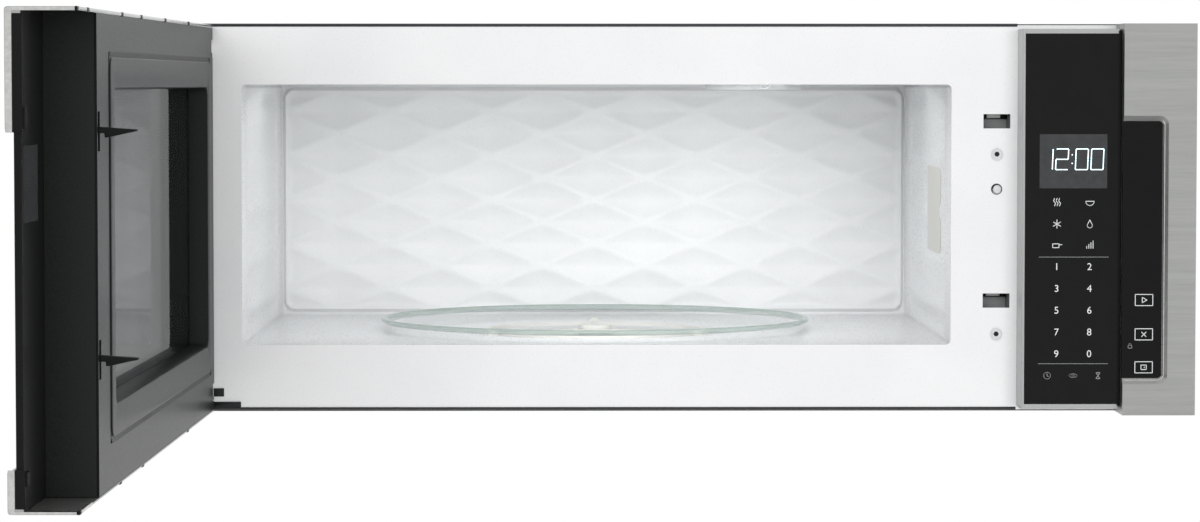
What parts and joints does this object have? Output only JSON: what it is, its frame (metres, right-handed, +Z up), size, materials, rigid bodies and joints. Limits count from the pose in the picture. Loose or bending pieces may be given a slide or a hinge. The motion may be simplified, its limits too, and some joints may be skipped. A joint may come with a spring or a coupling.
{
  "type": "over the range microwave",
  "caption": "Wall-hung microwave oven with a side-hinged door standing open, quilted oven, turntable, control block and vent",
  "frame": {"origin": "middle of the wall plate's rear face, which lies against the wall", "axes": "+Y points into the wall, so the front faces -Y; +X is to the right seen from the front; +Z is up"},
  "size_m": [0.8012, 1.127, 0.3008],
  "materials": {
    "black_glass": "gloss",
    "black_plastic": "satin",
    "case_paint": "satin",
    "circuit_board": "satin",
    "core_steel": "matt",
    "cover_plastic": "semi gloss",
    "filter_aluminium": "satin",
    "inner_glass": "gloss",
    "lamp_glass": "gloss",
    "lens_glass": "gloss",
    "liner_enamel": "semi gloss",
    "mesh_steel": "matt",
    "mica": "matt",
    "pale_plastic": "satin",
    "screen_black": "gloss",
    "silver_plastic": "satin metallic",
    "stainless": "brushed",
    "tray_glass": "gloss",
    "white_paint": "satin",
    "zinc_steel": "satin"
  },
  "bodies": {
    "cabinet": {"wall_mounting_plate": "zinc_steel", "rear_panel": "zinc_steel", "outer_case": "case_paint", "base_pan": "case_paint", "front_frame": "white_paint", "oven_cavity": "liner_enamel", "cavity_lamp_lens": "lamp_glass", "cavity_lamp_bulb": "lamp_glass", "waveguide": "zinc_steel", "waveguide_cover": "mica", "magnetron": "zinc_steel", "power_transformer": "core_steel", "capacitor": "filter_aluminium", "cooling_fan_motor": "zinc_steel", "blower_housing": "zinc_steel", "vent_blower_motor": "core_steel", "exhaust_duct": "zinc_steel", "damper_collar": "zinc_steel", "cooktop_lamps": "lamp_glass", "cooktop_lamp_covers": "lamp_glass", "turntable_motor": "zinc_steel", "control_housing": "silver_plastic", "control_glass": "black_glass", "display_module": "screen_black", "control_board": "circuit_board", "end_trim": "stainless", "touch_strip_glass": "black_glass", "latch_board": "pale_plastic", "frame_screws": "zinc_steel", "interlock_switches": "black_plastic", "hinge_bracket_lower": "zinc_steel", "hinge_bracket_upper": "zinc_steel", "mains_gland": "black_plastic"},
    "door": {"door_skin": "stainless", "door_glass": "black_glass", "keypad_cover": "black_plastic", "display_lens": "lens_glass", "door_corner_blocks": "black_plastic", "door_choke_frame": "zinc_steel", "door_mesh_screen": "mesh_steel", "door_inner_glass": "inner_glass", "door_inner_cover": "cover_plastic", "hinge_bushes": "black_plastic", "latch_spring": "zinc_steel"},
    "latch": {"latch_hooks": "black_plastic"},
    "turntable": {"turntable_glass": "tray_glass", "drive_coupler": "pale_plastic"},
    "roller_carrier": {"roller_ring": "pale_plastic"},
    "rear_wheel": {"roller_rear": "pale_plastic"},
    "left_wheel": {"roller_left": "pale_plastic"},
    "right_wheel": {"roller_right": "pale_plastic"},
    "blower_rotor": {"blower_wheels": "black_plastic"},
    "fan_rotor": {"cooling_fan_blade": "black_plastic"},
    "damper": {"damper_flap": "zinc_steel"},
    "left_filter": {"grease_filter_left": "filter_aluminium"},
    "right_filter": {"grease_filter_right": "filter_aluminium"}
  },
  "joints": [
    {"name": "door_hinge", "type": "hinge", "parent": "cabinet", "child": "door", "pos_m": [-0.3735, -0.4315, 0], "axis": [0, 0, 1], "range_deg": [0, 91]},
    {"name": "latch_slide", "type": "slide", "parent": "door", "child": "latch", "axis": [0, 0, 1], "range_m": [0, 0.0025], "stiffness_N_per_m": 250, "springref_m": -0.002},
    {"name": "turntable_spin", "type": "hinge", "parent": "cabinet", "child": "turntable", "pos_m": [-0.07455, -0.234, -0.0977], "axis": [0, 0, 1], "continuous": true},
    {"name": "roller_ring_spin", "type": "hinge", "parent": "cabinet", "child": "roller_carrier", "pos_m": [-0.07455, -0.234, -0.0977], "axis": [0, 0, 1], "continuous": true},
    {"name": "rear_roller_spin", "type": "hinge", "parent": "roller_carrier", "child": "rear_wheel", "pos_m": [-0.07455, -0.136, -0.0989], "axis": [0, 1, 0], "continuous": true},
    {"name": "left_roller_spin", "type": "hinge", "parent": "roller_carrier", "child": "left_wheel", "pos_m": [-0.15942, -0.283, -0.0989], "axis": [-0.866, -0.5, 0], "continuous": true},
    {"name": "right_roller_spin", "type": "hinge", "parent": "roller_carrier", "child": "right_wheel", "pos_m": [0.01032, -0.283, -0.0989], "axis": [0.866, -0.5, 0], "continuous": true},
    {"name": "vent_blower_spin", "type": "hinge", "parent": "cabinet", "child": "blower_rotor", "pos_m": [0.2885, -0.0823, -0.0697], "axis": [1, 0, 0], "continuous": true},
    {"name": "cooling_fan_spin", "type": "hinge", "parent": "cabinet", "child": "fan_rotor", "pos_m": [0.28247, -0.217, 0.0463], "axis": [0, 1, 0], "continuous": true},
    {"name": "damper_swing", "type": "hinge", "parent": "cabinet", "child": "damper", "pos_m": [0, -0.0896, 0.1405], "axis": [1, 0, 0], "range_deg": [0, 80]},
    {"name": "left_filter_slide", "type": "slide", "parent": "cabinet", "child": "left_filter", "axis": [0, 1, 0], "range_m": [0, 0.008]},
    {"name": "right_filter_slide", "type": "slide", "parent": "cabinet", "child": "right_filter", "axis": [0, 1, 0], "range_m": [0, 0.008]}
  ],
  "couplings": [
    {"joint": "roller_ring_spin", "follows": "turntable_spin", "ratio": 0.5},
    {"joint": "rear_roller_spin", "follows": "turntable_spin", "ratio": -10.889},
    {"joint": "left_roller_spin", "follows": "turntable_spin", "ratio": -10.889},
    {"joint": "right_roller_spin", "follows": "turntable_spin", "ratio": -10.889}
  ]
}
